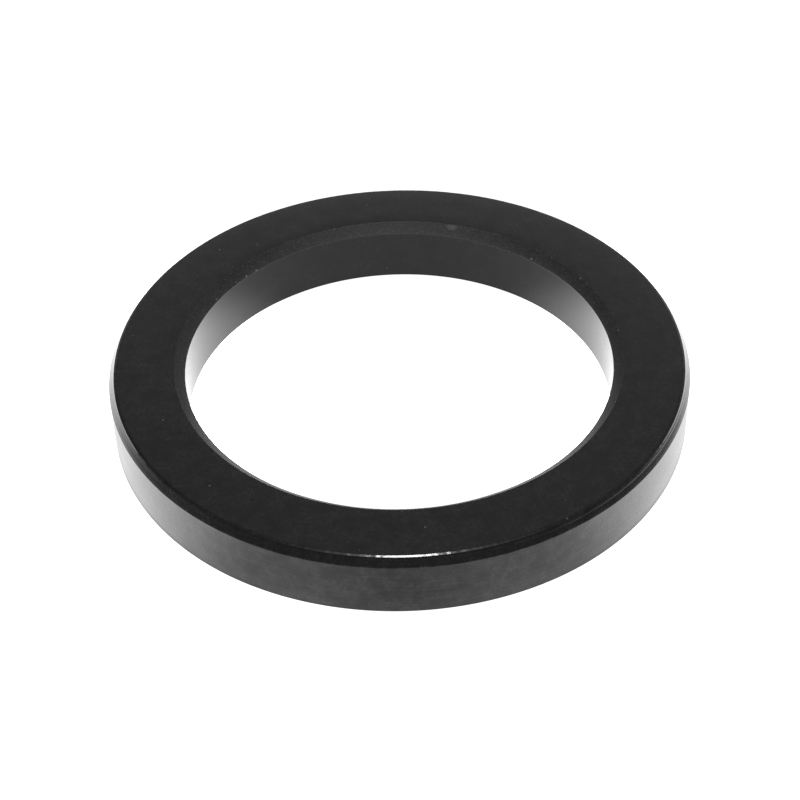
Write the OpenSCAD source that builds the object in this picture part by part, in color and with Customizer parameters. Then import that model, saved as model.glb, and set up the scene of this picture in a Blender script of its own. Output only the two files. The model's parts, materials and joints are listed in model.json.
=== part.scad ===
// Group head gasket: one moulded rubber ring that seals the filter holder against the brewing group.
// It lies on its flat sealing face at z = 0, with its axis on Z and its chamfered face up.

/* [Ring] */
// Outside diameter, over the straight wall
outer_d = 73; // [68:0.5:80]
// Diameter of the straight bore
bore_d = 54; // [48:0.5:58]
// Thickness between the two flat faces
thickness = 8.2; // [6:0.1:12]

/* [Outer shoulder] */
// Radial step from the straight wall in to the top face
shoulder_w = 0.65; // [0.4:0.05:1.5]
// Height of the whole shoulder, from the straight wall up to the top face
shoulder_h = 1.15; // [0.7:0.05:2]
// Width of the narrow land above the mould's parting line, at the top of the shoulder
land_w = 0.15; // [0.1:0.05:0.35]
// Height of that land
land_h = 0.2; // [0.1:0.05:0.5]
// Radius of the arris between the land and the top face
arris_r = 0.2; // [0.05:0.05:0.25]

/* [Inner chamfer] */
// Radial width of the chamfer at the mouth of the bore
chamfer_w = 1.2; // [0.5:0.05:2]
// Depth of the chamfer below the top face
chamfer_h = 1.2; // [0.5:0.05:2]

/* [Sealing face] */
// Radius of the outer edge of the sealing face
heel_r = 0.2; // [0.05:0.05:0.5]
// Radius of the bore's edge on the sealing face
bore_edge_r = 0.15; // [0.05:0.05:0.5]

/* [Hidden] */
$fn = 180;
bore_r = bore_d / 2;
ring_w = outer_d / 2 - bore_r;
top_w = ring_w - shoulder_w;
sharp = 0;
rubber_black = [0.07, 0.07, 0.07];
// Corners of the section, anticlockwise: distance from the bore wall, height, rounding
corners = [
    [0, 0, bore_edge_r],
    [ring_w, 0, heel_r],
    [ring_w, thickness - shoulder_h, sharp],
    [top_w + land_w, thickness - land_h, sharp],
    [top_w, thickness, arris_r],
    [chamfer_w, thickness, sharp],
    [0, thickness - chamfer_h, sharp]
];

// Place of a corner, counted round the section
function corner(i) = let(c = corners[(i + len(corners)) % len(corners)]) [c.x, c.y];

// Direction from a corner towards the one before it (-1) or after it (1)
function edge(i, way) = let(run = corner(i + way) - corner(i)) run / norm(run);

// Half of the angle between a corner's two edges
function half_angle(i) = acos(edge(i, -1) * edge(i, 1)) / 2;

// The two points where a corner's rounding meets its edges, or the corner itself where it is sharp
function corner_ends(i) =
    let(rounding = corners[i].z)
    let(setback = rounding / tan(half_angle(i)))
    rounding == sharp ? [corner(i)] : [for (way = [-1, 1]) corner(i) + setback * edge(i, way)];

// Centre of a corner's rounding, on the line that halves the corner
function rounding_centre(i) =
    let(inward = edge(i, -1) + edge(i, 1))
    corner(i) + corners[i].z / sin(half_angle(i)) * inward / norm(inward);

// Cross-section of the rubber, with the bore wall on the Y axis
module section() {
    polygon([for (i = [0 : len(corners) - 1]) each corner_ends(i)]);
    for (i = [0 : len(corners) - 1])
        if (corners[i].z > sharp)
            translate(rounding_centre(i)) circle(r = corners[i].z);
}

// The whole gasket, moulded in one piece
module gasket_ring() {
    color(rubber_black)
        rotate_extrude()
            translate([bore_r, 0])
                section();
}

gasket_ring();
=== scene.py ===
import json
import math

import bmesh
import bpy
from mathutils import Matrix, Vector


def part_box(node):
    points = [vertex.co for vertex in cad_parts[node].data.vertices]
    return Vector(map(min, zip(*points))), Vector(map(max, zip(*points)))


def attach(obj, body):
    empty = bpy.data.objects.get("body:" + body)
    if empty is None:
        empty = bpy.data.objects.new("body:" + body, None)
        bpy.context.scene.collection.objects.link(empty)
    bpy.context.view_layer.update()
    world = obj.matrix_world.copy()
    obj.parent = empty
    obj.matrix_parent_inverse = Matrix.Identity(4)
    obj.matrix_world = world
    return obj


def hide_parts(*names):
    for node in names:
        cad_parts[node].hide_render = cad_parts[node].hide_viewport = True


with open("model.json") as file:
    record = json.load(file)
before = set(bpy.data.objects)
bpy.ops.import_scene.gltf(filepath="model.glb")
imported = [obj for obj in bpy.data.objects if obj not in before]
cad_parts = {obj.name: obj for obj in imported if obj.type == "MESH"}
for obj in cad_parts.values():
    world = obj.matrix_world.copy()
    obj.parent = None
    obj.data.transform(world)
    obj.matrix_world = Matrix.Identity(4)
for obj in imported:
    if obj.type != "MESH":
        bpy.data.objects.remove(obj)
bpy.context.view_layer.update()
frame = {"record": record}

# Gasket ring
# The whole gasket is one ring of black rubber, pressed hot in a two-part steel mould whose parting line
# runs round the shoulder. Its section is the same all round, and it lies loose on its sealing face, with
# nothing fixed to it.
mm = 0.001
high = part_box("gasket_ring")[1]
outer_r = high.x
thickness = high.z
bore_r = next(m["dims"]["r_mm"] for m in frame["record"]["mounts"] if m["name"] == "bore") * mm
shoulder_h = 1.15 * mm

# The arris is a narrow facet: where it starts, in from the wall and down from the top, and where it ends
arris_in, arris_drop = 0.695 * mm, 0.065 * mm
rim_in = 0.965 * mm

# The top sinks slightly towards the arris and the mouth of the bore: over what width, and how far
crown_w, crown_drop = 2.4 * mm, 0.035 * mm
mouth_w, mouth_drop = 1.8 * mm, 0.035 * mm

# The chamfer swells slightly, and a thin lip stands out into the bore at its foot
chamfer_w, chamfer_h = 1.24 * mm, 1.16 * mm
belly = 0.02 * mm
lip_out, lip_h = 0.035 * mm, 0.09 * mm


def between(start, end, part, outwards):
    """Point part of the way along an edge of the section, lifted off it outwards."""
    run = Vector(end) - Vector(start)
    return Vector(start) + run * part + Vector((run.y, -run.x)).normalized() * outwards


shoulder_foot = (outer_r, thickness - shoulder_h)
arris_foot = (outer_r - arris_in, thickness - arris_drop)
arris_rim = (outer_r - rim_in, thickness)
chamfer_rim = (bore_r + chamfer_w, thickness)
chamfer_foot = (bore_r - lip_out, thickness - chamfer_h)
swell = between(shoulder_foot, arris_foot, part=0.23, outwards=0.006 * mm)
below_parting = between(shoulder_foot, arris_foot, part=0.6, outwards=-0.01 * mm)
parting = between(shoulder_foot, arris_foot, part=0.69, outwards=-0.009 * mm)
above_parting = between(shoulder_foot, arris_foot, part=0.78, outwards=-0.007 * mm)
chamfer_belly = between(chamfer_rim, chamfer_foot, part=0.5, outwards=belly)
lip_root = (bore_r, thickness - chamfer_h - lip_h)

# Points a little way from the lumpy edges, so that the faces beside those edges stay straight
plain_strip = 0.2 * mm
below_lip = (bore_r, thickness - chamfer_h - lip_h - plain_strip)
above_lip = between(chamfer_belly, chamfer_foot, part=0.7, outwards=0.0)
inside_arris = (outer_r - rim_in - plain_strip, thickness)

# Corners of the section, anticlockwise: place, radius of the rounding, cuts of the straight that follows
sharp = 0.0
section_corners = [
    ((bore_r, 0.0), 0.05 * mm, 1),
    ((outer_r, 0.0), 0.06 * mm, 1),
    (shoulder_foot, 0.1 * mm, 1),
    (swell, sharp, 1),
    (below_parting, sharp, 3),
    (parting, sharp, 3),
    (above_parting, sharp, 1),
    (arris_foot, 0.05 * mm, 1),
    (arris_rim, 0.12 * mm, 1),
    (inside_arris, sharp, 8),
    (chamfer_rim, 0.08 * mm, 1),
    (chamfer_belly, sharp, 1),
    (above_lip, sharp, 1),
    (chamfer_foot, 0.02 * mm, 1),
    (lip_root, 0.05 * mm, 1),
    (below_lip, sharp, 1),
]


def rounded_outline(corners, edge_step, arc_step):
    """Closed outline: an arc or a point at each corner, then its straight with a short step at each end."""
    places = [Vector(place) for place, rounding, cuts in corners]
    arcs = []
    for index, place in enumerate(places):
        rounding = corners[index][1]
        if rounding == sharp:
            arcs.append([place])
            continue
        back = (places[index - 1] - place).normalized()
        on = (places[(index + 1) % len(places)] - place).normalized()
        half_angle = back.angle(on) / 2
        centre = place + (back + on).normalized() * (rounding / math.sin(half_angle))
        first = place + back * (rounding / math.tan(half_angle)) - centre
        last = place + on * (rounding / math.tan(half_angle)) - centre
        turn = first.angle_signed(last)
        steps = max(2, math.ceil(abs(turn) / arc_step))
        arcs.append([centre + Matrix.Rotation(-turn * k / steps, 2) @ first for k in range(steps + 1)])
    points = []
    for index, arc in enumerate(arcs):
        points += arc
        run = arcs[(index + 1) % len(arcs)][0] - arc[-1]
        middle = run.length - 2 * edge_step
        if middle > edge_step:
            cuts = corners[index][2]
            points += [arc[-1] + run.normalized() * (edge_step + middle * k / cuts) for k in range(cuts + 1)]
    return points


class Wire:
    """One output of a node. Sums written on it become Math nodes in the same tree."""

    def __init__(self, socket):
        self.socket = socket

    @staticmethod
    def node(tree, kind, settings=None, inputs=None):
        """Adds a node: its type, its settings, then its sockets' values or wires. Gives its first output."""
        node = tree.nodes.new(kind)
        for name, value in (settings or {}).items():
            setattr(node, name, value)
        for name, value in (inputs or {}).items():
            if isinstance(value, Wire):
                tree.links.new(value.socket, node.inputs[name])
            else:
                node.inputs[name].default_value = value
        return Wire(node.outputs[0]) if node.outputs else None

    def out(self, name):
        return Wire(self.socket.node.outputs[name])

    def math(self, operation, first, second):
        tree = self.socket.id_data
        return Wire.node(tree, "ShaderNodeMath", {"operation": operation}, {0: first, 1: second})

    def __add__(self, other):
        return self.math("ADD", self, other)

    __radd__ = __add__

    def __sub__(self, other):
        return self.math("SUBTRACT", self, other)

    def __rsub__(self, other):
        return self.math("SUBTRACT", other, self)

    def __mul__(self, other):
        return self.math("MULTIPLY", self, other)

    __rmul__ = __mul__

    def __truediv__(self, other):
        return self.math("DIVIDE", self, other)

    def __pow__(self, other):
        return self.math("POWER", self, other)

    def above(self, start):
        """How far the value is above start, or 0."""
        return self.math("MAXIMUM", self - start, 0.0)

    def rise(self, start, end):
        """0 up to start, 1 from end on, smooth between them."""
        return Wire.node(self.socket.id_data, "ShaderNodeMapRange", {"interpolation_type": "SMOOTHSTEP"},
                         {"Value": self, "From Min": start, "From Max": end})


# Black rubber: satin where the steel was polished, rougher on the chamfer, a little dust on the walls, a
# painted sheen on the chamfer towards its foot, and the walls lighter towards their foot
rubber = bpy.data.materials.new("black_rubber")
rubber.use_nodes = True
shade = rubber.node_tree
shade.nodes.clear()
spot_m = Wire.node(shade, "ShaderNodeTexCoord").out("Object")
spot_mm = Wire.node(shade, "ShaderNodeVectorMath", {"operation": "SCALE"},
                    {"Vector": spot_m, "Scale": 1 / mm})
axes = Wire.node(shade, "ShaderNodeSeparateXYZ", inputs={"Vector": spot_mm})
across, along, height = axes.out("X"), axes.out("Y"), axes.out("Z")
radius = (across * across + along * along) ** 0.5
outer_mm, bore_mm, top_mm = outer_r / mm, bore_r / mm, thickness / mm

# Where one finish passes into the next, in mm
blend = 0.04
rim_mm = bore_mm + chamfer_w / mm
foot_mm = top_mm - chamfer_h / mm
arris_mm = outer_mm - rim_in / mm
on_wall = radius.rise(outer_mm - 2 * blend, outer_mm - blend / 2)
on_chamfer = (1 - radius.rise(rim_mm - blend, rim_mm + blend)) * height.rise(foot_mm - blend, foot_mm + blend)
on_arris = radius.rise(arris_mm - 0.15, arris_mm) * height.rise(top_mm - 0.3, top_mm - 0.2)


def noise(vector, scale, detail, roughness):
    return Wire.node(shade, "ShaderNodeTexNoise",
                     inputs={"Vector": vector, "Scale": scale, "Detail": detail, "Roughness": roughness})


# Mottle, streaks that the turned mould left round the wall, flecks of dust, pits, bloom on the chamfer, and a
# painted sheen that lightens the chamfer towards its foot
grain = noise(spot_mm, scale=2.6, detail=2.0, roughness=0.55)
patches = noise(spot_mm, scale=0.55, detail=4.0, roughness=0.62)
streak_stretch = Vector((0.13, 0.13, 3.2))
round_way = Wire.node(shade, "ShaderNodeVectorMath", {"operation": "MULTIPLY"},
                      {0: spot_mm, 1: streak_stretch})
streaks = noise(round_way, scale=1.0, detail=3.0, roughness=0.65).rise(0.5, 0.74)


def spots(scale, smallest, largest):
    """Round spots, one to a cell, few of them near the largest radius in mm."""
    cells = Wire.node(shade, "ShaderNodeTexVoronoi", inputs={"Vector": spot_mm, "Scale": scale})
    chance = Wire.node(shade, "ShaderNodeSeparateColor", inputs={"Color": cells.out("Color")})
    return 1 - (cells / scale / (smallest + (largest - smallest) * chance ** 5)).rise(0.5, 1.0)


fleck = spots(scale=0.8, smallest=0.015, largest=0.15)
fine_fleck = spots(scale=1.7, smallest=0.01, largest=0.09)
wall_fleck = spots(scale=2.2, smallest=0.015, largest=0.11)
pit = spots(scale=0.5, smallest=0.01, largest=0.17)
mottle = grain.rise(0.3, 0.75) * patches.rise(0.3, 0.7)
clouds = patches.rise(0.35, 0.68)
up_chamfer = (height - foot_mm) / (top_mm - foot_mm)
smudge_place = Vector((7.7, 26.9, 7.95))
flattened = Vector((0.6, 0.6, 1.5))
smudge_way = Wire.node(shade, "ShaderNodeVectorMath", {"operation": "MULTIPLY"}, {0: spot_mm, 1: flattened})
from_smudge = Wire.node(shade, "ShaderNodeVectorMath", {"operation": "DISTANCE"},
                        {0: smudge_way, 1: smudge_place * flattened}).out("Value")
smudge = 1 - (from_smudge + 0.5 * (grain - 0.5)).rise(0.25, 0.55)
sand = noise(spot_mm, scale=5.0, detail=1.0, roughness=0.5).rise(0.5, 0.8)
foot_points = spots(scale=1.6, smallest=0.03, largest=0.22) * (1 - up_chamfer.rise(0.1, 0.3))
rim_points = spots(scale=1.9, smallest=0.05, largest=0.2) * up_chamfer.rise(0.85, 0.95)
# Painted sheen: the chamfer is lightened towards its foot
painted_foot_sheen = (1 - up_chamfer).above(0.0) ** 2
# The wall is made lighter towards its foot
low_wall = 1 - height.rise(0.3, 3.5)

# How much light each kind of dust or bloom adds to what the black rubber throws back; a painted sheen adds
# more towards the chamfer's foot, and the wall is lighter towards its foot
bloom_and_painted_sheen = 0.025 * sand + 0.008 * painted_foot_sheen + 0.03 * smudge + 0.1 * (foot_points + rim_points)
wall_dust_and_lighter_foot = 0.011 * clouds + 0.008 * mottle + 0.012 * streaks + 0.01 * low_wall + 0.05 * wall_fleck
dust_and_painted_sheen = 0.008 * mottle + on_wall * wall_dust_and_lighter_foot + on_chamfer * bloom_and_painted_sheen + 0.08 * fleck + 0.04 * fine_fleck
rubber_grey = 0.004
rubber_blue = 0.0041
tint = Wire.node(shade, "ShaderNodeCombineColor",
                 inputs={"Red": rubber_grey + dust_and_painted_sheen, "Green": rubber_grey + dust_and_painted_sheen, "Blue": rubber_blue + dust_and_painted_sheen})
satin = 0.26
patchy = 0.06
chamfer_dulling = 0.31
arris_polish = 0.15
wall_wear = 0.05 * streaks + 0.4 * pit
gloss_loss = satin + patchy * (patches - 0.5) + chamfer_dulling * on_chamfer - arris_polish * on_arris \
    + on_wall * wall_wear

# Relief too fine to model, in steps of the grain's depth
grain_depth = 0.004 * mm
fine_relief = (0.3 - 0.2 * on_wall + 1.5 * on_chamfer) * grain
wall_relief = 0.6 * streaks + 2.5 * patches - 6 * pit
bump = Wire.node(shade, "ShaderNodeBump", inputs={
    "Strength": 1.0,
    "Distance": grain_depth,
    "Height": fine_relief + on_wall * wall_relief,
})
rubber_ior = 1.38
skin = Wire.node(shade, "ShaderNodeBsdfPrincipled",
                 inputs={"Base Color": tint, "Roughness": gloss_loss, "IOR": rubber_ior, "Normal": bump})
Wire.node(shade, "ShaderNodeOutputMaterial", inputs={"Surface": skin})

# The section swept round its circle, its top crowned, with lumps on the arris and flash at the chamfer's foot
sweep = bpy.data.node_groups.new("section_sweep", "GeometryNodeTree")
socket_ids = {}
for name, kind in (("Section", "NodeSocketGeometry"), ("Path Radius", "NodeSocketFloat"),
                   ("Segments", "NodeSocketInt"), ("Lump Height", "NodeSocketFloat"),
                   ("Flash Height", "NodeSocketFloat"), ("Ridge Height", "NodeSocketFloat"),
                   ("Rubber", "NodeSocketMaterial")):
    socket_ids[name] = sweep.interface.new_socket(name, in_out="INPUT", socket_type=kind).identifier
sweep.interface.new_socket("Ring", in_out="OUTPUT", socket_type="NodeSocketGeometry")
given = Wire.node(sweep, "NodeGroupInput")
section_curve = Wire.node(sweep, "GeometryNodeMeshToCurve", inputs={"Mesh": given.out("Section")})
circle = Wire.node(sweep, "GeometryNodeCurvePrimitiveCircle", {"mode": "RADIUS"},
                   {"Resolution": given.out("Segments"), "Radius": given.out("Path Radius")})
path = Wire.node(sweep, "GeometryNodeSetCurveNormal", {"mode": "Z_UP"}, {"Curve": circle})
swept = Wire.node(sweep, "GeometryNodeCurveToMesh", inputs={"Curve": path, "Profile Curve": section_curve})
point = Wire.node(sweep, "GeometryNodeInputPosition")
point_axes = Wire.node(sweep, "ShaderNodeSeparateXYZ", inputs={"Vector": point})
point_r = (point_axes.out("X") ** 2 + point_axes.out("Y") ** 2) ** 0.5
point_z = point_axes.out("Z")


def distance_from(place):
    return ((point_r - place[0]) ** 2 + (point_z - place[1]) ** 2) ** 0.5


arris_middle = (Vector(arris_foot) + Vector(arris_rim)) / 2
by_arris = 1 - distance_from(arris_middle).rise(0.14 * mm, 0.26 * mm)
lumps = Wire.node(sweep, "ShaderNodeTexNoise", inputs={"Vector": point, "Scale": 1.9 / mm, "Detail": 1.0})
lumpy_arris = by_arris * (lumps - 0.5) * given.out("Lump Height")
by_lip = 1 - distance_from(chamfer_foot).rise(0.03 * mm, 0.14 * mm)
bits = Wire.node(sweep, "ShaderNodeTexNoise", inputs={"Vector": point, "Scale": 2.3 / mm, "Detail": 1.0})
flash_from = 0.58
flash = by_lip * bits.above(flash_from) * given.out("Flash Height")
ridge_fade = 15 * mm
ridge_half_w = 0.11 * mm
right_side = point_axes.out("X").rise(-ridge_fade, ridge_fade)
ridge = (1 - distance_from(parting).rise(0.0, ridge_half_w)) * right_side
filling = (1 - distance_from(below_parting).rise(0.05 * mm, 0.45 * mm)) * (1 - right_side)
ridges = (ridge + filling) * given.out("Ridge Height")
outwards = Wire.node(sweep, "GeometryNodeInputNormal")
push = Wire.node(sweep, "ShaderNodeVectorMath", {"operation": "SCALE"},
                 {"Vector": outwards, "Scale": 0 - (lumpy_arris + flash + ridges)})
lumpy = Wire.node(sweep, "GeometryNodeSetPosition", inputs={"Geometry": swept, "Offset": push})
up_shoulder = point_z.above(thickness - shoulder_h) / shoulder_h
roll_off = (point_r.above(outer_r - rim_in - crown_w) / crown_w) ** 2 * crown_drop
mouth_off = ((bore_r + chamfer_w + mouth_w - point_r).above(0.0) / mouth_w) ** 2 * mouth_drop
sink = Wire.node(sweep, "ShaderNodeCombineXYZ", inputs={"Z": 0 - up_shoulder * (roll_off + mouth_off)})
crowned = Wire.node(sweep, "GeometryNodeSetPosition", inputs={"Geometry": lumpy, "Offset": sink})
smooth = Wire.node(sweep, "GeometryNodeSetShadeSmooth", inputs={"Geometry": crowned})
single = Wire.node(sweep, "GeometryNodeRealizeInstances", inputs={"Geometry": smooth})
dressed = Wire.node(sweep, "GeometryNodeSetMaterial",
                    inputs={"Geometry": single, "Material": given.out("Rubber")})
Wire.node(sweep, "NodeGroupOutput", inputs={"Ring": dressed})

outline = rounded_outline(section_corners, edge_step=0.02 * mm, arc_step=math.radians(11))
outline_mesh = bpy.data.meshes.new("ring_section")
outline_mesh.from_pydata([(p.x - bore_r, -p.y, 0.0) for p in outline],
                         [(k, (k + 1) % len(outline)) for k in range(len(outline))], [])
sweeper = bpy.data.objects.new("ring_section", outline_mesh)
bpy.context.scene.collection.objects.link(sweeper)
modifier = sweeper.modifiers.new("sweep", "NODES")
modifier.node_group = sweep
modifier[socket_ids["Path Radius"]] = bore_r
modifier[socket_ids["Segments"]] = 960
modifier[socket_ids["Lump Height"]] = 0.035 * mm
modifier[socket_ids["Flash Height"]] = 0.15 * mm
modifier[socket_ids["Ridge Height"]] = 0.012 * mm
modifier[socket_ids["Rubber"]] = rubber
evaluated = sweeper.evaluated_get(bpy.context.evaluated_depsgraph_get())
ring_mesh = bpy.data.meshes.new_from_object(evaluated)
bpy.data.objects.remove(sweeper)
ring_mesh.name = "gasket_ring_moulded"
shell = bmesh.new()
shell.from_mesh(ring_mesh)
bmesh.ops.recalc_face_normals(shell, faces=shell.faces)
shell.to_mesh(ring_mesh)
shell.free()
ring = bpy.data.objects.new("gasket_ring_moulded", ring_mesh)
bpy.context.scene.collection.objects.link(ring)
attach(ring, "root")
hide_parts("gasket_ring")

# Table
# A wide, flat, matt table top whose white is painted light: its emission paints a pool of light where the
# ring lies, most to the left and right of the ring, and it fades to a pale grey farther out.
table_half = 0.8
table_z = -0.02 * mm
table_mesh = bpy.data.meshes.new("table")
table_corners = [(x * table_half, y * table_half, table_z) for x, y in ((-1, -1), (1, -1), (1, 1), (-1, 1))]
table_mesh.from_pydata(table_corners, [], [(0, 1, 2, 3)])
table = bpy.data.objects.new("table", table_mesh)
bpy.context.scene.collection.objects.link(table)
paint = bpy.data.materials.new("white_with_painted_glow")
paint.use_nodes = True
coat = paint.node_tree
coat.nodes.clear()
table_place = Wire.node(coat, "ShaderNodeTexCoord").out("Object")
table_axes = Wire.node(coat, "ShaderNodeSeparateXYZ", inputs={"Vector": table_place})
from_axis = Wire.node(coat, "ShaderNodeVectorMath", {"operation": "LENGTH"}, {0: table_place}).out("Value")

# Where a spot of the table lies: inside the ring or outside it, how far to its sides, in front of it, far off
inside = 1 - from_axis.rise(26 * mm, 34 * mm)
outside = 1 - inside
bore_shift = 0.03
sideways = (table_axes.out("X") ** 2) ** 0.5 / from_axis - bore_shift * inside
nearer = (0 - table_axes.out("Y")).rise(20 * mm, 36 * mm)
farther = from_axis.rise(41 * mm, 54 * mm)
pool = 1 - from_axis.rise(122 * mm, 165 * mm)
at_foot = outside * (1 - from_axis.rise(37 * mm, 40.5 * mm))
# Painted contact shadow: where the ring meets the table
touching = outside * (1 - from_axis.rise(36.5 * mm, 37.0 * mm))
toward_sides = outside * (1 - farther) * sideways.rise(0.95, 1.0)

# Painted shade: the glow dips close to the ring, at its foot and beside it, and the glow to its sides and
# front is halved where the ring touches the table, a painted contact shadow; painted light swells it to the
# ring's sides
painted_foot_shade = 0.3
painted_side_shade = 0.28
painted_contact_shadow = 0.5
# Painted shade: the glow is cut near the ring's foot and beside it
beside = 1 - painted_foot_shade * sideways.rise(0.86, 0.95) * at_foot - painted_side_shade * toward_sides
far_beside = farther * (1 - from_axis.rise(95 * mm, 130 * mm))
side_gain = 1.7
bore_gain = 0.3
front_gain = 0.42
side_glow = ((side_gain + bore_gain * inside) * beside + far_beside) * sideways.rise(0.5, 0.85)
front_glow = front_gain * sideways.rise(0.02, 0.35) * nearer
edge_glow = 0.28
pool_glow = 0.72
# Painted light: the table's emission, a painted pool of light round the ring, brightest to its sides and a
# little in front of it
painted_glow_level = edge_glow + pool * (pool_glow + (side_glow + front_glow) * (1 - painted_contact_shadow * touching))


def grey_tint(tree, level):
    return Wire.node(tree, "ShaderNodeCombineColor", inputs={"Red": level, "Green": level, "Blue": level})


glow = Wire.node(coat, "ShaderNodeEmission", inputs={"Color": grey_tint(coat, painted_glow_level), "Strength": 1.0})
dull_white = (0.1, 0.1, 0.1, 1.0)
matt = Wire.node(coat, "ShaderNodeBsdfDiffuse", inputs={"Color": dull_white})
both = Wire.node(coat, "ShaderNodeAddShader", inputs={0: glow, 1: matt})
Wire.node(coat, "ShaderNodeOutputMaterial", inputs={"Surface": both})
table_mesh.materials.append(paint)

# Light
# A soft lamp hangs high over the ring, a pale screen leans over the camera, and the room round it is an
# even grey that is lighter on its far side.
lamp_data = bpy.data.lights.new("lamp", "AREA")
lamp_data.shape = "RECTANGLE"
lamp_data.size = 0.11
lamp_data.size_y = 0.2
lamp_radiance = 50.0
lamp_data.energy = lamp_radiance * math.pi * lamp_data.size * lamp_data.size_y
lamp = bpy.data.objects.new("lamp", lamp_data)
lamp_height = 1.0
lean_right = math.radians(0.5)
lean_far = math.radians(12.0)
lamp.location = Vector((math.tan(lean_right), math.tan(lean_far), 1.0)) * lamp_height
lamp.rotation_euler = (-lamp.location).to_track_quat("-Z", "Y").to_euler()
bpy.context.scene.collection.objects.link(lamp)

room = bpy.data.worlds.new("room")
room.use_nodes = True
air = room.node_tree
air.nodes.clear()
way = Wire.node(air, "ShaderNodeTexCoord").out("Generated")
way_axes = Wire.node(air, "ShaderNodeSeparateXYZ", inputs={"Vector": way})
way_right, way_far, way_up = way_axes.out("X"), way_axes.out("Y"), way_axes.out("Z")

# A band of light low on the far side, the screen, and a halo round the lamp
far_glow = way_up.rise(0.1, 0.42) * (1 - way_up.rise(0.42, 0.625)) * way_far.rise(0.3, 0.8)


def toward(place):
    facing = Wire.node(air, "ShaderNodeVectorMath", {"operation": "DOT_PRODUCT"}, {0: way, 1: place})
    return facing.out("Value").above(0.0)


screen_way = Vector((0.0, -0.586, 0.81))
screen_narrowing = 8
halo_narrowing = 90
screen = toward(screen_way) ** screen_narrowing * way_up.rise(0.56, 0.74)
halo = toward(lamp.location.normalized()) ** halo_narrowing
far_side = way_far.rise(-0.2, 0.5)
room_grey = 0.225
far_side_light = 0.085
far_glow_light = 0.85
right_gain = 0.5
screen_light = 3.6
halo_light = 2.5
grey = room_grey + far_side_light * far_side + far_glow_light * far_glow
sky_level = grey * (1 + right_gain * far_side * way_right) + screen_light * screen + halo_light * halo
sky = Wire.node(air, "ShaderNodeBackground", inputs={"Color": grey_tint(air, sky_level), "Strength": 1.0})
Wire.node(air, "ShaderNodeOutputWorld", inputs={"Surface": sky})
bpy.context.scene.world = room

# Camera
# A short telephoto lens looks down at the ring from the front, a quarter of a metre away, slightly rolled.
eye_rise = math.radians(41.05)
eye_distance = 249.57 * mm
roll = math.radians(1.53)
camera_data = bpy.data.cameras.new("camera")
camera_data.sensor_width = 36.0
camera_data.lens = 87.28
camera_data.shift_x = -0.0002
camera_data.shift_y = 0.0026
camera_data.clip_start = 0.01
camera = bpy.data.objects.new("camera", camera_data)
eye = Vector((0.0, -math.cos(eye_rise), math.sin(eye_rise))) * eye_distance
turned = (-eye).to_track_quat("-Z", "Y").to_matrix().to_4x4() @ Matrix.Rotation(-roll, 4, "Z")
camera.matrix_world = Matrix.Translation(eye) @ turned
bpy.context.scene.collection.objects.link(camera)
bpy.context.scene.camera = camera
bpy.context.scene.view_settings.view_transform = "Standard"
